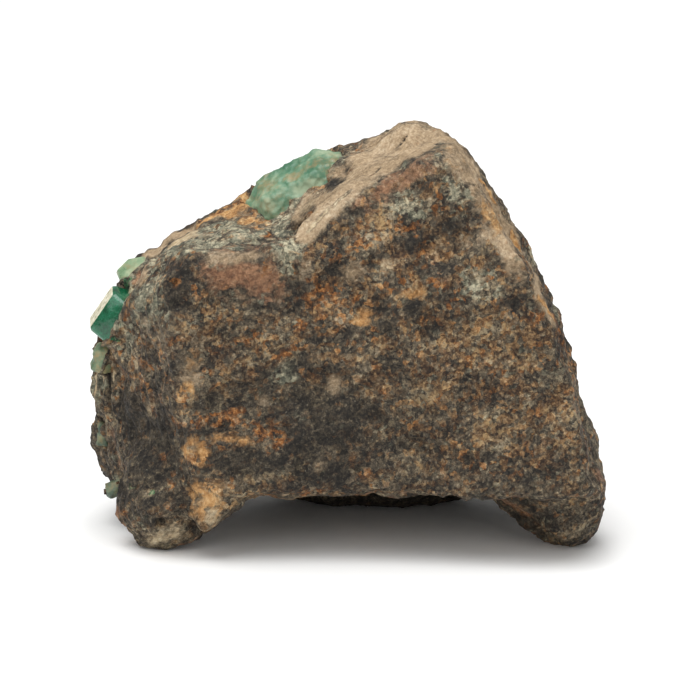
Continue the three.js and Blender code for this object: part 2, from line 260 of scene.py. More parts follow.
PATCHES: tuple[Patch, ...] = (
    # Broad colours of the front, the shelf and the crown.
    patch_at(IRON_BROWN, 430, 235, 95, 62, 0.85, 30),
    patch_at(IRON_BROWN, 290, 338, 80, 26, 0.8, 18),
    patch_at(IRON_BROWN, 345, 280, 40, 46, 0.7),
    patch_at(IRON_BROWN, 280, 430, 90, 60, 0.8, 8),
    # Broad dark over the lower front: partly dark rock, partly painted shade where less light reaches.
    patch_at(DARK, 290, 420, 80, 52, 0.5, 8),
    patch_at(DARK, 305, 412, 40, 40, 0.5),
    patch_at(IRON_BROWN, 260, 488, 60, 12, 0.8, 2),
    patch_at(SCHIST, 200, 380, 30, 40, 0.5),
    patch_at(DARK, 152, 446, 34, 40, 0.85),
    patch_at(DARK, 262, 464, 62, 13, 0.75, 3),
    patch_at(DARK, 330, 436, 36, 16, 0.6, 10),
    patch_at(GREY_GREEN, 220, 238, 46, 14, 1, 6),
    patch_at(GREY_GREEN, 262, 232, 28, 14, 0.7, 20),
    patch_at(TAN, 330, 192, 44, 20, 1, 45),
    patch_at(TAN, 378, 156, 46, 22, 1, 32),
    patch_at(TAN, 420, 140, 34, 20, 1, 15),
    patch_at(TAN, 352, 172, 30, 18, 1, 40),
    # Stained rock round the top crystal and on the shelf.
    patch_at(TAN, 304, 208, 12, 9, 0.7, 40),
    patch_at(CREAM, 308, 206, 9, 5, 0.6, 40),
    patch_at(RUST, 312, 212, 8, 5, 0.7, 45),
    patch_at(IRON_BROWN, 322, 186, 11, 9, 0.8, 30),
    patch_at(DARK, 334, 184, 8, 7, 0.8, 50),
    patch_at(RUST, 346, 168, 9, 6, 0.5, 20),
    patch_at(GREY_GREEN, 338, 158, 12, 6, 0.7, 30),
    patch_at(IRON_BROWN, 352, 150, 14, 5, 0.4, 10),
    patch_at(TAN, 224, 215, 22, 7, 0.6, 25),
    patch_at(GREY_GREEN, 222, 224, 26, 7, 0.8, 12),
    patch_at(OCHRE, 238, 208, 14, 5, 0.7, 28),
    patch_at(OCHRE, 250, 207, 17, 7, 0.8, 30),
    patch_at(RUST, 252, 210, 12, 5, 0.6, 30),
    patch_at(OCHRE, 253, 224, 14, 8, 0.8),
    patch_at(RUST, 252, 227, 10, 4, 0.6),
    patch_at(TAN, 243, 212, 10, 5, 0.5, 30),
    patch_at(CREAM, 203, 235, 14, 9, 0.6),
    patch_at(CREAM, 240, 240, 20, 5, 0.4),
    patch_at(DARK, 226, 240, 3, 8, 0.4),
    patch_at(GREY_GREEN, 284, 232, 13, 8, 0.7),
    patch_at(GREY_GREEN, 268, 240, 16, 6, 0.5, 10),
    patch_at(RUST, 271, 236, 8, 4, 0.8, -25),
    patch_at(CREAM, 272, 239, 5, 3, 0.7, -20),
    patch_at(DARK, 266, 243, 9, 3, 0.4, -25),
    patch_at(GREEN_MICA, 184, 241, 7, 4, 0.4, 10),
    patch_at(GREEN_MICA, 226, 234, 3, 8, 0.5),
    patch_at(SCHIST, 240, 248, 16, 4, 0.6),
    patch_at(GREY_GREEN, 292, 246, 12, 6, 0.6, 10),
    # Smooth worn face on the upper left of the front, and the dark rock round it.
    patch_at(RED_BROWN, 240, 272, 44, 21),
    patch_at(RED_BROWN, 252, 292, 34, 14, 0.55),
    patch_at(TAN, 238, 258, 36, 5, 0.75, 2),
    patch_at(TAN, 222, 262, 18, 7, 0.4),
    patch_at(SCHIST, 232, 296, 18, 9, 0.5),
    patch_at(RUST, 272, 262, 12, 7, 0.5),
    patch_at(DARK, 184, 264, 18, 7, 0.8, 12),
    patch_at(CREAM, 178, 243, 15, 7, 1, 24),
    patch_at(OCHRE, 171, 247, 7, 4, 0.5, 30),
    patch_at(DARK, 182, 290, 11, 26, 0.85),
    patch_at(RUST, 174, 281, 5, 5, 0.9),
    patch_at(DARK, 166, 296, 6, 16, 0.4),
    patch_at(GREY_GREEN, 291, 264, 10, 13, 0.8),
    patch_at(DARK, 301, 297, 10, 13, 0.8),
    patch_at(IRON_BROWN, 200, 300, 8, 20, 0.6),
    patch_at(RUST, 196, 291, 5, 9, 0.7),
    patch_at(RUST, 326, 297, 24, 9, 0.75),
    patch_at(TAN, 304, 275, 7, 10, 0.5),
    patch_at(DARK, 236, 320, 26, 8, 0.9, 27),
    patch_at(IRON_BROWN, 214, 332, 22, 12, 0.7, 20),
    patch_at(CREAM, 252, 311, 12, 2.5, 0.4, 24),
    patch_at(RUST, 218, 316, 8, 5, 0.4, 20),
    # Right of the front.
    patch_at(RED_BROWN, 395, 186, 46, 13, 0.75, 28),
    patch_at(DARK, 345, 222, 20, 10, 0.4, 35),
    patch_at(GREY_GREEN, 409, 206, 17, 14, 0.85),
    patch_at(DARK, 423, 185, 7, 6, 0.9),
    patch_at(RUST, 424, 186, 9, 7, 0.5),
    patch_at(OCHRE, 442, 189, 7, 5, 0.9),
    patch_at(RUST, 440, 203, 7, 13, 0.8, -25),
    patch_at(CREAM, 428, 203, 5, 9, 0.5, -25),
    patch_at(RUST, 453, 160, 9, 18, 0.7, 30),
    patch_at(GREY_GREEN, 466, 200, 16, 24, 0.75, 10),
    patch_at(DARK, 474, 206, 7, 6, 0.5),
    patch_at(DARK, 448, 226, 14, 9, 0.7),
    patch_at(DARK, 413, 244, 10, 8, 0.85),
    patch_at(RUST, 410, 226, 14, 6, 0.5),
    patch_at(RUST, 366, 240, 10, 14, 0.5),
    patch_at(DARK, 335, 263, 12, 9, 0.7, 20),
    patch_at(RUST, 345, 245, 24, 10, 0.6, 30),
    patch_at(DARK, 372, 266, 5, 7, 0.6),
    patch_at(TAN, 354, 271, 12, 8, 0.6),
    patch_at(CREAM, 386, 266, 8, 8, 0.6),
    patch_at(IRON_BROWN, 405, 264, 10, 10, 0.6),
    patch_at(DARK, 428, 268, 9, 9, 0.8),
    patch_at(OCHRE, 408, 293, 17, 7, 0.8),
    patch_at(RUST, 400, 286, 14, 8, 0.6),
    patch_at(RUST, 434, 275, 9, 14, 0.5, 20),
    patch_at(RUST, 452, 300, 12, 9, 0.7),
    patch_at(DARK, 412, 309, 11, 8, 0.9),
    patch_at(DARK, 446, 267, 7, 6, 0.7),
    patch_at(GREY_GREEN, 482, 284, 18, 16, 0.85),
    patch_at(CREAM, 476, 276, 6, 8, 0.4, 30),
    patch_at(DARK, 491, 252, 8, 6, 0.7),
    patch_at(TAN, 476, 243, 14, 9, 0.5),
    patch_at(TAN, 502, 228, 16, 40, 1, 28),
    patch_at(OCHRE, 497, 222, 10, 22, 0.7, 28),
    patch_at(TAN, 510, 256, 12, 24, 0.9, 24),
    patch_at(RUST, 496, 256, 6, 14, 0.3, 26),
    patch_at(TAN, 458, 158, 13, 30, 1, 38),
    patch_at(OCHRE, 460, 162, 9, 20, 0.6, 38),
    patch_at(TAN, 466, 170, 10, 24, 0.8, 36),
    patch_at(IRON_BROWN, 524, 278, 18, 26, 0.8, 20),
    patch_at(TAN, 514, 262, 9, 20, 0.6, 15),
    patch_at(GREY_GREEN, 530, 262, 8, 12, 0.5),
    patch_at(DARK, 513, 304, 8, 5, 0.7),
    patch_at(RUST, 536, 312, 8, 8, 0.5),
    # Middle and lower left of the front.
    patch_at(GREY_GREEN, 282, 378, 16, 11, 0.65, 25),
    patch_at(CREAM, 277, 366, 10, 2.5, 0.4, 35),
    patch_at(RUST, 258, 334, 20, 3.5, 0.5, 27),
    patch_at(RUST, 292, 350, 24, 4, 0.5, 24),
    patch_at(RUST, 306, 324, 22, 5, 0.45, 18),
    patch_at(RUST, 354, 330, 18, 18, 0.7),
    patch_at(CREAM, 356, 333, 7, 7, 0.6),
    patch_at(OCHRE, 364, 318, 11, 10, 0.8),
    patch_at(DARK, 386, 322, 13, 18, 0.75),
    patch_at(TAN, 333, 385, 7, 9, 0.75),
    patch_at(TAN, 190, 371, 10, 18, 0.7, -15),
    patch_at(CREAM, 191, 366, 7, 10, 0.55, -15),
    patch_at(OCHRE, 194, 362, 8, 12, 0.35, -15),
    patch_at(OCHRE, 185, 400, 6, 14, 0.85, -5),
    patch_at(OCHRE, 185, 400, 7, 14, 0.9, -5),
    patch_at(RUST, 184, 402, 5, 11, 0.9, -5),
    patch_at(RUST, 205, 372, 6, 6, 0.85),
    patch_at(DARK, 205, 405, 18, 8, 0.95, 25),
    patch_at(RUST, 217, 420, 32, 8, 0.85, 6),
    # Painted shade in the groove above the low ledge.
    patch_at(DARK, 215, 431, 23, 2.6, 0.9, 6),
    patch_at(OCHRE, 231, 440, 23, 6, 0.8, -4),
    patch_at(RUST, 228, 444, 16, 3.5, 0.5),
    patch_at(CREAM, 189, 443, 5, 4, 0.9),
    patch_at(OCHRE, 197, 452, 13, 10, 1, -20),
    patch_at(RUST, 204, 457, 8, 5, 0.5, -20),
    patch_at(RUST, 190, 458, 6, 5, 0.7),
    patch_at(CREAM, 193, 447, 5, 3, 0.6),
    patch_at(TAN, 197, 478, 9, 8, 0.4),
    patch_at(RUST, 274, 436, 17, 20, 0.7),
    patch_at(DARK, 277, 462, 11, 7, 0.9),
    patch_at(GREY_GREEN, 304, 417, 11, 8, 0.55),
    patch_at(DARK, 250, 392, 22, 10, 0.6, 20),
    patch_at(TAN, 264, 401, 7, 6, 0.5),
    patch_at(IRON_BROWN, 258, 486, 36, 8, 0.75, 4),
    patch_at(DARK, 290, 484, 40, 7, 0.5, 2),
    patch_at(TAN, 232, 484, 10, 5, 0.4),
    patch_at(RUST, 256, 498, 18, 4, 0.85, 10),
    patch_at(RUST, 305, 491, 15, 6, 0.8),
    patch_at(DARK, 312, 425, 26, 30, 0.35),
    patch_at(DARK, 295, 482, 40, 8, 0.25, 2),
    patch_at(DARK, 338, 476, 14, 9, 0.6),
    patch_at(TAN, 320, 465, 8, 6, 0.4),
    patch_at(OCHRE, 209, 504, 15, 19),
    patch_at(CREAM, 211, 513, 11, 10, 0.6),
    patch_at(CREAM, 202, 500, 6, 8, 0.4),
    patch_at(OCHRE, 207, 489, 13, 7, 0.9),
    patch_at(RUST, 212, 488, 10, 5, 0.6),
    patch_at(RUST, 207, 510, 2.5, 2, 0.8),
    patch_at(RUST, 216, 507, 2, 1.5, 0.8),
    # Left side and foot.
    patch_at(GREY_GREEN, 122, 330, 16, 26, 0.55),
    patch_at(GREY_GREEN, 100, 352, 8, 18, 0.85),
    patch_at(CREAM, 97, 400, 3.5, 34, 0.5),
    patch_at(CREAM, 93, 338, 4, 14, 0.8),
    patch_at(GREY_GREEN, 150, 288, 16, 30, 0.75, 10),
    patch_at(CREAM, 150, 300, 8, 16, 0.4, 10),
    patch_at(GREY_GREEN, 152, 308, 14, 22, 0.6, 10),
    patch_at(TAN, 146, 322, 8, 8, 0.4),
    patch_at(RUST, 129, 311, 5, 4, 0.9),
    patch_at(DARK, 127, 311, 8, 5, 0.6),
    patch_at(GREEN_MICA, 116, 340, 6, 3.5, 0.9, 10),
    patch_at(TAN, 142, 276, 10, 12, 0.8, 35),
    patch_at(TAN, 120, 290, 5, 4, 0.4, 40),
    patch_at(GREY_GREEN, 127, 279, 9, 5, 0.7, 30),
    patch_at(GREEN_MICA, 127, 280, 8, 4, 0.75, 30),
    patch_at(CREAM, 117, 289, 6, 4, 0.8, 45),
    patch_at(GREY_GREEN, 97, 376, 7, 26, 0.7),
    patch_at(CREAM, 139, 366, 5, 6, 0.6),
    patch_at(CREAM, 150, 409, 5, 9, 0.7),
    patch_at(RUST, 153, 413, 3, 6, 0.7),
    patch_at(TAN, 166, 340, 9, 12, 0.35),
    patch_at(CREAM, 160, 330, 6, 14, 0.3, 10),
    patch_at(RUST, 165, 456, 4, 5, 0.8),
    patch_at(RUST, 172, 486, 4, 4, 0.7),
    patch_at(GREEN_MICA, 151, 493, 9, 5, 0.8),
    patch_at(GREEN_MICA, 128, 484, 8, 5, 0.6),
    patch_at(GREEN_MICA, 134, 489, 5, 3, 0.8),
    patch_at(DARK, 146, 508, 26, 14, 0.55, -25),
    patch_at(CREAM, 166, 537, 20, 8, 0.8, 12),
    patch_at(GREY_GREEN, 140, 522, 14, 7, 0.45),
    patch_at(CREAM, 170, 518, 6, 5, 0.4),
    # Painted shade in the two pits of the foot.
    patch_at(DARK, 120, 487, 9, 8),
    patch_at(DARK, 160, 524, 10, 4),
    patch_at(RUST, 168, 508, 4, 4, 0.5),
)

STREAKS: tuple[Streak, ...] = (
    # Slab and the crack behind it; the crack is painted dark as shade inside it, over a shallow groove.
    streak_at(TAN, ((303, 236), (318, 220), (338, 201), (367, 180), (396, 162), (422, 147), (441, 138)), 9),
    streak_at(CREAM, ((309, 230), (330, 208), (352, 190)), 1.2),
    streak_at(DARK, ((297, 229), (308, 216), (322, 203), (338, 190)), 0.9, 0.7),
    streak_at(DARK, ((373, 175), (380, 166)), 0.9, 0.5),
    streak_at(DARK, ((385, 154), (396, 146)), 0.9, 0.5),
    streak_at(DARK, ((396, 146), (409, 133)), 0.8, 0.4),
    # Warm worn right edge.
    streak_at(
        TAN,
        ((461, 152), (475, 174), (491, 201), (503, 221), (517, 243), (535, 274), (539, 296), (553, 319)),
        8,
    ),
    streak_at(OCHRE, ((480, 180), (494, 203)), 3),
    streak_at(OCHRE, ((512, 233), (521, 248)), 3),
    streak_at(OCHRE, ((540, 298), (554, 318)), 4),
    # Rust and pale veins.
    streak_at(TAN, ((150, 255), (159, 250), (170, 238), (182, 232), (194, 224)), 7),
    streak_at(CREAM, ((170, 247), (181, 238), (193, 231)), 5),
    streak_at(OCHRE, ((200, 222), (207, 218), (218, 210), (230, 206), (243, 195)), 7),
    streak_at(RUST, ((199, 220), (216, 211), (238, 199)), 3),
    streak_at(CREAM, ((172, 246), (161, 254), (158, 272), (154, 290)), 1.4),
    streak_at(CREAM, ((167, 252), (163, 270), (160, 286)), 0.9),
    streak_at(CREAM, ((95, 352), (94, 370), (96, 396)), 1.6),
    streak_at(CREAM, ((103, 375), (105, 400)), 1),
    streak_at(CREAM, ((112, 365), (114, 385)), 0.9),
    # Cracks in the front and along the layers of the left side, painted dark as shade inside them, over
    # shallow grooves.
    streak_at(DARK, ((249, 312), (262, 306), (276, 303)), 0.8, 0.4),
    streak_at(DARK, ((119, 380), (121, 405)), 1, 0.35),
    streak_at(DARK, ((108, 368), (110, 412)), 1.2, 0.4),
)

PITS: tuple[Pit, ...] = (
    Pit(photo_place((120, 487)), photo_length(8), 1.2),
    Pit(photo_place((161, 526)), photo_length(8), 0.9),
    Pit(photo_place((173, 281)), photo_length(5), 0.6),
)

SWELLS: tuple[Swell, ...] = (
    # Worn face, the valley on its right and the dark band on its left.
    Swell((-9.7, 6.7), (4.0, 2.6), 0.6),
    Swell((-5.4, 6.8), (1.2, 2.6), -0.55, -10),
    Swell((-15.3, 5.2), (1.0, 2.6), -0.45),
    # Ledges low on the front.
    Swell((-11.0, -8.2), (2.2, 0.9), 0.35),
    Swell((-11.3, -7.0), (2.4, 0.5), -0.35),
    Swell((-9.8, -10.4), (2.0, 1.4), -0.4),
    # Right of the front.
    Swell((4.1, 5.4), (3.0, 2.2), 0.35),
    Swell((8.1, 9.0), (2.5, 2.5), -0.3),
    # Rock under the corner of the left crystal.
    Swell((-22.5, 0.7), (0.5, 0.5), 0.6),
    # Far rim of the shelf.
    Swell((-14.8, 10.9), (1.6, 0.9), -0.6, 25),
)

# The worn edge between the dark left side and the front, from top to bottom.
WORN_EDGE = Streak(
    SCHIST,
    ((-17.2, 7.9), (-16.4, 4.5), (-15.8, 0.0), (-15.2, -5.4), (-14.4, -9.9), (-13.5, -12.6)),
    3.0,
)


def linear(hex_colour: str) -> Colour:
    """Turns an sRGB hex colour into linear RGBA.

    Args:
        hex_colour: a colour such as "#4c463e".

    Returns:
        Linear red, green, blue and an alpha of 1.
    """
    channels = [int(hex_colour[i : i + 2], 16) / 255.0 for i in (1, 3, 5)]
    r, g, b = (c / 12.92 if c <= 0.04045 else ((c + 0.055) / 1.055) ** 2.4 for c in channels)
    return (r, g, b, 1.0)


def per_metre(size_mm: float) -> float:
    """Texture scale, per metre of Object coordinates, that gives features of a size in mm."""
    return 1.0 / (size_mm * MM)


def add_node(
    tree: bpy.types.NodeTree,
    kind: str,
    inputs: dict[str | int, Any] | None = None,
    settings: dict[str, Any] | None = None,
    ramp: Iterable[tuple[float, Colour]] = (),
) -> bpy.types.Node:
    """Adds a shader node with its settings and links.

    Args:
        tree: the node tree of a material or world.
        kind: Blender's type name of the node, without ShaderNode in front.
        inputs: input sockets by name or number; a socket as the value is linked, anything else is set.
        settings: properties of the node.
        ramp: positions and colours of a colour ramp.

    Returns:
        The new node.
    """
    node = tree.nodes.new(f"ShaderNode{kind}")
    for name, value in (settings or {}).items():
        setattr(node, name, value)
    for socket, value in (inputs or {}).items():
        if isinstance(value, bpy.types.NodeSocket):
            tree.links.new(value, node.inputs[socket])
        else:
            node.inputs[socket].default_value = value
    stops = list(ramp)
    if stops:
        elements = node.color_ramp.elements
        while len(elements) < len(stops):
            elements.new(1.0)
        for element, (position, colour) in zip(elements, stops):
            element.position, element.color = position, colour
    return node


def new_material(name: str) -> tuple[bpy.types.Material, bpy.types.NodeTree]:
    """Makes a material with an empty node tree.

    Args:
        name: name of the finish.

    Returns:
        The material and its tree.
    """
    material = bpy.data.materials.new(name)
    material.use_nodes = True
    material.node_tree.nodes.clear()
    return material, material.node_tree


def smoothstep(low: float, high: float, value: np.ndarray) -> np.ndarray:
    """Eases from 0 at low to 1 at high; low may be above high."""
    t = np.clip((value - low) / (high - low), 0.0, 1.0)
    return t * t * (3.0 - 2.0 * t)


def merged_copy(node: bpy.types.Object) -> bmesh.types.BMesh:
    """Copies a solid of the frame with its loose triangles joined.

    Args:
        node: the solid's object in the frame.

    Returns:
        The copy, in metres.
    """
    shape = bmesh.new()
    shape.from_mesh(node.data)
    bmesh.ops.remove_doubles(shape, verts=shape.verts, dist=JOIN_MM * MM)
    return shape


def finished_piece(shape: bmesh.types.BMesh, name: str) -> bpy.types.Object:
    """Turns a bmesh into a piece at the origin and frees it.

    Args:
        shape: the mesh, in metres.
        name: name of the piece.

    Returns:
        The piece, smooth-shaded.
    """
    mesh = bpy.data.meshes.new(name)
    shape.to_mesh(mesh)
    shape.free()
    mesh.materials.clear()
    for polygon in mesh.polygons:
        polygon.use_smooth = True
    piece = bpy.data.objects.new(name, mesh)
    bpy.context.scene.collection.objects.link(piece)
    return piece


def remeshed(piece: bpy.types.Object, voxel_mm: float) -> None:
    """Gives a piece an even mesh of small squares.

    Args:
        piece: a closed piece.
        voxel_mm: size of the squares.
    """
    remesh = piece.modifiers.new("even", "REMESH")
    remesh.mode = "VOXEL"
    remesh.voxel_size = voxel_mm * MM
    remesh.use_smooth_shade = True
    evaluated = piece.evaluated_get(bpy.context.evaluated_depsgraph_get())
    even = bpy.data.meshes.new_from_object(evaluated)
    piece.modifiers.clear()
    rough = piece.data
    piece.data = even
    bpy.data.meshes.remove(rough)
    even.name = piece.name


def smoothed(mesh: bpy.types.Mesh, chosen: Iterable[int], rounds: int) -> None:
    """Wears down part of a mesh.

    Args:
        mesh: the mesh.
        chosen: numbers of the vertices that wear.
        rounds: how many times each moves half-way to its neighbours.
    """
    shape = bmesh.new()
    shape.from_mesh(mesh)
    shape.verts.ensure_lookup_table()
    worn = [shape.verts[i] for i in chosen]
    for _ in range(rounds):
        bmesh.ops.smooth_vert(
            shape, verts=worn, factor=0.5, use_axis_x=True, use_axis_y=True, use_axis_z=True
        )
    shape.to_mesh(mesh)
    shape.free()


@dataclass(frozen=True)
class Lumps:
    """Rounded unevenness: width and height in mm, how many sizes, each half the one before, and a seed."""

    size: float
    height: float
    octaves: int
    seed: float


@dataclass(frozen=True)
class Chips:
    """Flat chips: width in mm, steepest slope, largest step as a share of the width, and a seed."""

    size: float
    tilt: float
    step: float
    seed: float


# The lean of each chip comes from noise vectors, which this seed makes the same in every run.
CHIP_SEED = 3
# How keenly chips meet at a crease, and the share below which a neighbouring chip no longer counts.
CREASE = 16.0
CREASE_SHARE = 0.02
# Steps between chips in the noises of their lean and their height.
LEAN_STEP = 5.3
HEIGHT_STEP = 3.7
# Falling strength and shrinking size of the finer lumps on a lump.
LUMP_FALL = 0.9
LUMP_SHRINK = 2.1


class Surface:
    """Vertices of a piece in mm with their outward normals, and noises over them."""

    def __init__(self, mesh: bpy.types.Mesh) -> None:
        """Reads the mesh.

        Args:
            mesh: mesh in metres.
        """
        self.mesh = mesh
        count = len(mesh.vertices)
        points = np.empty(count * 3)
        normals = np.empty(count * 3)
        mesh.vertices.foreach_get("co", points)
        mesh.vertex_normals.foreach_get("vector", normals)
        self.points = points.reshape(-1, 3) / MM
        self.normals = normals.reshape(-1, 3)

    def lumpy(self, lumps: Lumps, chosen: np.ndarray | None = None) -> np.ndarray:
        """Heights of rounded lumps at the vertices.

        Args:
            lumps: the lumps.
            chosen: which vertices are wanted; all of them if left out.

        Returns:
            One height in mm per vertex, up or down.
        """
        points = self.points if chosen is None else self.points[chosen]
        shifted = points / lumps.size + lumps.seed
        heights = [noise.fractal(Vector(p), LUMP_FALL, LUMP_SHRINK, lumps.octaves) for p in shifted]
        return np.array(heights) * lumps.height

    def chipped(self, chips: Chips) -> np.ndarray:
        """Heights of flat chips: each cell of the stone is a plane of its own, blended at the creases.

        Args:
            chips: the chips.

        Returns:
            One height in mm per vertex, up or down.
        """
        heights = np.empty(len(self.points))
        for i, p in enumerate(self.points / chips.size + chips.seed):
            point = Vector(p)
            distances, centres = noise.voronoi(point)
            total = weight_sum = 0.0
            for distance, centre in zip(distances, centres):
                weight = math.exp((distances[0] - distance) * CREASE)
                if weight < CREASE_SHARE:
                    break
                lean = noise.noise_vector(centre * LEAN_STEP)
                lift = noise.noise(centre * HEIGHT_STEP) * chips.step
                total += weight * ((point - centre).dot(lean) * chips.tilt + lift)
                weight_sum += weight
            heights[i] = total / weight_sum
        return heights * chips.size

    def write(self) -> None:
        """Writes the points back to the mesh."""
        self.mesh.vertices.foreach_set("co", (self.points * MM).ravel())
        self.mesh.update()


def front_point(tree: BVHTree, place: Place) -> Vector | None:
    """Finds the point of a surface that shows at a place in the front view.

    Args:
        tree: the surface, in mm.
        place: mm right and up of the middle of the view.

    Returns:
        The point, or None where the view shows no surface.
    """
    through = VIEW_TARGET_MM + VIEW_RIGHT * place[0] + VIEW_UP * place[1]
    return tree.ray_cast(VIEW_EYE_MM, (through - VIEW_EYE_MM).normalized())[0]


# Vertex attributes: where the layers of mica show edge-on, and where the stone is even and fine-grained.
LAYERED = "layered"
EVEN = "even"
# Directions of the stone: out of its front, out of its left side, and across its layers of mica.
FRONT_SIDE = (0.12, -0.98, 0.15)
LEFT_SIDE = (-0.82, -0.57, 0.0)
ACROSS_LAYERS = (0.55, -0.82, 0.12)
# Where a mark starts and where it is full, in half-sizes from its middle.
PATCH_EDGE = (1.7, 0.4)
STREAK_EDGE = (1.7, 0.5)
SWELL_EDGE = (1.3, 0.0)
CRACK_REACH = 1.6
PIT_REACH = 1.2
PIT_FLOOR_MM = 0.1
# How deep a mark goes into the view: a share of its larger half-size, and a little more in mm.
MARK_DEPTH = 1.6
MARK_DEPTH_MORE_MM = 0.4


@dataclass
class Stone:
    """The lump of mica schist: its grain, chips, cracks, pits and stains. Sizes in mm.

    worn_calm and slab_calm are how much of the chips is missing on the worn face and on the pale slab.
    """

    node: str = "matrix"
    voxel: float = 0.27
    worn_edge_shares: tuple[float, ...] = (1.0, 0.6)
    worn_edge_rounds: int = 30
    lip_reach: float = 0.8
    lip_rounds: int = 4
    swells: Lumps = Lumps(6.5, 0.28, 2, 17.0)
    lumps: Lumps = Lumps(2.4, 0.2, 3, 31.0)
    grain: Lumps = Lumps(0.8, 0.09, 3, 57.0)
    chips: Chips = Chips(3.4, 0.3, 0.07, 2.1)
    small_chips: Chips = Chips(1.3, 0.34, 0.09, 8.4)
    crumbs: Chips = Chips(0.7, 0.32, 0.12, 5.6)
    worn_calm: float = 0.65
    slab_calm: float = 0.6
    layer_waver: Lumps = Lumps(4.0, 0.5, 2, 71.0)
    layer_spacing: float = 0.9
    layer_height: float = 0.16
    floor_band: float = 0.6
    stain_warp: Lumps = Lumps(1.6, 0.5, 3, 11.3)
    streak_warp: float = 0.6
    broad_cloud: Lumps = Lumps(9.0, 1.0, 3, 4.7)
    small_cloud: Lumps = Lumps(5.0, 1.0, 3, 23.1)
    course_step: float = 0.2
    weights: dict[Mineral, np.ndarray] = field(default_factory=dict)

    def build(self, frame: dict[str, Any], crystals: tuple[Crystal, ...]) -> bpy.types.Object:
        """Makes the stone's mesh.

        Args:
            crystals: the crystals, whose edges the stone creeps over.

        Returns:
            The stone.
        """
        shape = merged_copy(frame["nodes"][self.node])
        tree = BVHTree.FromBMesh(shape)
        for crystal in crystals:
            crystal.fill_socket(shape, frame)
        piece = finished_piece(shape, "schist_stone")
        remeshed(piece, self.voxel)
        self.wear_edge(piece.data)
        self.wear_lips(piece.data, crystals)
        surface = Surface(piece.data)
        front = self.view_tree(piece.data)
        self.stain(surface, front)
        bare = sum(crystal.uncover(surface, tree, frame) for crystal in crystals)
        # Layers show where the stone faces left and not up.
        layered = smoothstep(0.3, 0.75, surface.normals @ np.array(LEFT_SIDE))
        layered *= smoothstep(0.6, 0.3, surface.normals[:, 2])
        self.chip(surface, front, layered, bare)
        surface.write()
        values = {mineral.value: weight for mineral, weight in self.weights.items()}
        values[LAYERED] = layered
        values[EVEN] = sum(self.weights[m] * tone.even for m, tone in TONES.items() if tone.even)
        for name, value in values.items():
            layer = piece.data.attributes.new(name, "FLOAT", "POINT")
            layer.data.foreach_set("value", value.astype(np.float32))
        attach(piece, BODY)
        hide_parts(self.node)
        return piece

    @staticmethod
    def view_tree(mesh: bpy.types.Mesh) -> BVHTree:
        """The mesh in mm, for finding places in the front view."""
        points = [v.co / MM for v in mesh.vertices]
        return BVHTree.FromPolygons(points, [tuple(p.vertices) for p in mesh.polygons])

    def wear_edge(self, mesh: bpy.types.Mesh) -> None:
        """Rounds the edge between the left side and the front.

        Args:
            mesh: the remeshed stone.
        """
        gap = self.course_distance(Surface(mesh), self.view_tree(mesh), WORN_EDGE)
        for share in self.worn_edge_shares:
            smoothed(mesh, np.flatnonzero(gap < WORN_EDGE.half_width * share), self.worn_edge_rounds)

    def wear_lips(self, mesh: bpy.types.Mesh, crystals: tuple[Crystal, ...]) -> None:
        """Rounds the stone round its filled sockets.

        Args:
            mesh: the remeshed stone.
            crystals: the crystals in the sockets.
        """
        points = Surface(mesh).points
        near = np.zeros(len(points), bool)
        for crystal in crystals:
            near |= crystal.beside(points, self.lip_reach)
        smoothed(mesh, np.flatnonzero(near), self.lip_rounds)

    def course_distance(self, surface: Surface, tree: BVHTree, streak: Streak) -> np.ndarray:
        """Distance of each vertex from a streak's course on the stone.

        Args:
            surface: the stone.
            tree: the stone as the front view sees it.
            streak: the vein or crack.

        Returns:
            Distances in mm.
        """
        nearest = np.full(len(surface.points), FAR)
        for start, end in zip(streak.course, streak.course[1:]):
            span = Vector(end) - Vector(start)
            steps = max(2, int(span.length / self.course_step))
            for k in range(steps + 1):
                hit = front_point(tree, tuple(Vector(start) + span * (k / steps)))
                if hit is not None:
                    gap = np.linalg.norm(surface.points - np.array(hit), axis=1)
                    nearest = np.minimum(nearest, gap)
        return nearest

    @staticmethod
    def oval(surface: Surface, tree: BVHTree, mark: Patch | Swell) -> np.ndarray:
        """Distance of each vertex from the middle of a patch or swell, 1 at its edge.

        Args:
            surface: the stone.
            tree: the stone as the front view sees it.
            mark: the patch or swell.

        Returns:
            Distances; all large where the mark misses the stone.
        """
        middle = front_point(tree, mark.place)
        if middle is None:
            LOG.warning("a mark at %s misses the stone", mark.place)
            return np.full(len(surface.points), FAR)
        turn = math.radians(mark.turn)
        along = VIEW_RIGHT * math.cos(turn) + VIEW_UP * math.sin(turn)
        across = VIEW_UP * math.cos(turn) - VIEW_RIGHT * math.sin(turn)
        depth = MARK_DEPTH * max(mark.reach) + MARK_DEPTH_MORE_MM
        offset = surface.points - np.array(middle)
        return np.sqrt(
            (offset @ np.array(along) / mark.reach[0]) ** 2
            + (offset @ np.array(across) / mark.reach[1]) ** 2
            + (offset @ np.array(VIEW_AHEAD) / depth) ** 2
        )

    def cover(self, mineral: Mineral, share: np.ndarray) -> None:
        """Lays a mineral over what is there.

        Args:
            mineral: the mineral on top.
            share: how much of each vertex it covers, 0 to 1.
        """
        for other in self.weights:
            self.weights[other] = self.weights[other] * (1.0 - share)
        self.weights[mineral] = self.weights[mineral] + share

